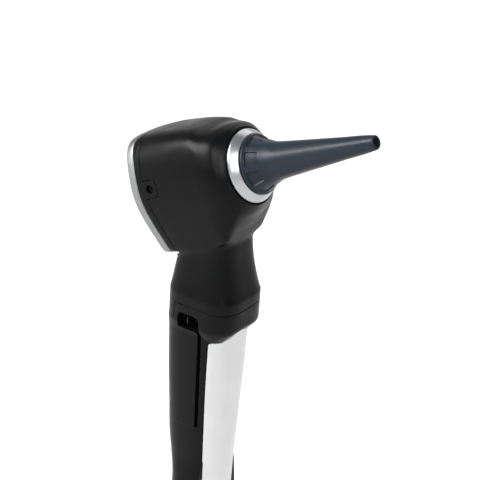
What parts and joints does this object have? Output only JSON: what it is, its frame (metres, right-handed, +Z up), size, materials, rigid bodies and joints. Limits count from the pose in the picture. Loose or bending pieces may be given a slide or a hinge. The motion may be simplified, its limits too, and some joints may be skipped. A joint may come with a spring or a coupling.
{
  "type": "otoscope",
  "caption": "Pocket otoscope: slim battery handle with a lever switch, removable angled head, swivelling magnifier and push-on ear speculum.",
  "frame": {"origin": "on the flat end of the base cap, below the middle of the handle", "axes": "+Z up the handle to the head, -Y forward towards the speculum's tip, +X towards the side without the insufflation port"},
  "size_m": [0.029, 0.072, 0.1756],
  "materials": {
    "black_plastic": "semi-matt moulded",
    "slate_plastic": "semi-gloss moulded",
    "satin_aluminium": "satin",
    "lens_glass": "polished",
    "steel": "plain",
    "brass": "plated",
    "circuit_board": "solder mask",
    "cell_sleeve": "printed sleeve without lettering",
    "black_rubber": "plain",
    "light_guide": "clear"
  },
  "bodies": {
    "handle": {"handle_shell": "black_plastic", "front_panel": "satin_aluminium", "chassis": "black_plastic", "switch_board": "circuit_board", "tact_switch": "steel", "battery_contact": "brass", "centre_contact": "brass", "battery_lower": "cell_sleeve", "battery_upper": "cell_sleeve"},
    "cap": {"base_cap": "black_plastic", "base_seal": "black_rubber", "base_spring": "steel", "cap_contact": "brass"},
    "lever": {"switch_lever": "black_plastic"},
    "plunger": {"switch_plunger": "black_rubber"},
    "head": {"head_shell": "black_plastic", "rear_frame": "black_plastic", "frame_screw_left": "steel", "frame_screw_right": "steel", "lens_pivot_pin": "steel", "port_nipple": "black_rubber", "speculum_ring": "satin_aluminium", "speculum_seat": "black_plastic", "fibre_ring": "light_guide", "neck_spigot": "steel", "contact_insulator": "black_rubber", "head_contact": "brass", "driver_board": "circuit_board", "heat_sink": "satin_aluminium", "led_board": "circuit_board", "led": "light_guide", "light_guide": "light_guide"},
    "lens": {"lens_rim": "satin_aluminium", "magnifier_lens": "lens_glass"},
    "speculum": {"speculum": "slate_plastic"}
  },
  "joints": [
    {"name": "head_release", "type": "slide", "parent": "handle", "child": "head", "axis": [0, 0, 1], "range_m": [0, 0.012]},
    {"name": "lens_swivel", "type": "hinge", "parent": "head", "child": "lens", "pos_m": [0, 0.02441, 0.15568], "axis": [0, -0.9085, 0.4179], "range_deg": [-90, 90]},
    {"name": "speculum_release", "type": "slide", "parent": "head", "child": "speculum", "axis": [0, -0.9085, 0.4179], "range_m": [0, 0.014]},
    {"name": "switch_press", "type": "hinge", "parent": "handle", "child": "lever", "pos_m": [0, 0.009, 0.0773], "axis": [1, 0, 0], "range_deg": [0, 1.7], "stiffness_Nm_per_rad": 4},
    {"name": "plunger_press", "type": "slide", "parent": "handle", "child": "plunger", "axis": [0, -1, 0], "range_m": [0, 0.00075]},
    {"name": "cap_release", "type": "slide", "parent": "handle", "child": "cap", "axis": [0, 0, -1], "range_m": [0, 0.012]}
  ],
  "couplings": [
    {"joint": "plunger_press", "follows": "switch_press", "m_per_rad": 0.0247}
  ]
}
